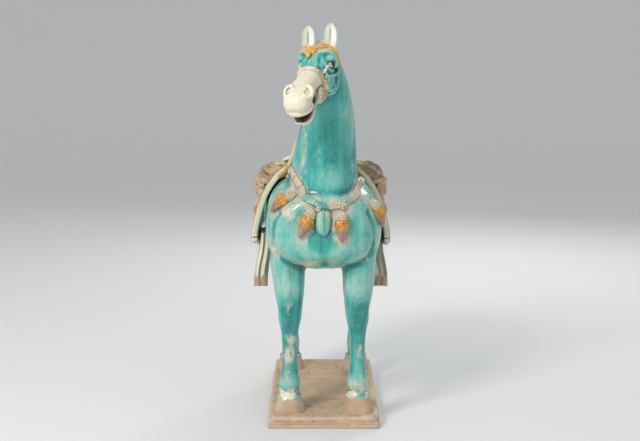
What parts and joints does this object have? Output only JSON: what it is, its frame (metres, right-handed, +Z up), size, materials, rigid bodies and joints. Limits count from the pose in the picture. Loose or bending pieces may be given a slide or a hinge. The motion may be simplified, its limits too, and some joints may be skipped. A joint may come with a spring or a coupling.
{
  "type": "sancai pottery horse",
  "caption": "Standing glazed pottery horse, saddled and harnessed, head turned aside, fired in one piece with its flat slab base.",
  "frame": {"origin": "middle of the slab's underside", "axes": "+Z up, the horse faces -Y, and its left side is +X"},
  "size_m": [0.2652, 0.533, 0.713],
  "materials": {
    "turquoise_glaze": "streaked, finely crazed gloss glaze, worn matt in places",
    "amber_glaze": "gloss, pooled darker in the hollows",
    "cream_glaze": "satin, straw tinted",
    "bare_clay": "matt, fired earthenware with a little dirt"
  },
  "bodies": {
    "root": {"sancai_horse": "turquoise_glaze"}
  },
  "joints": []
}
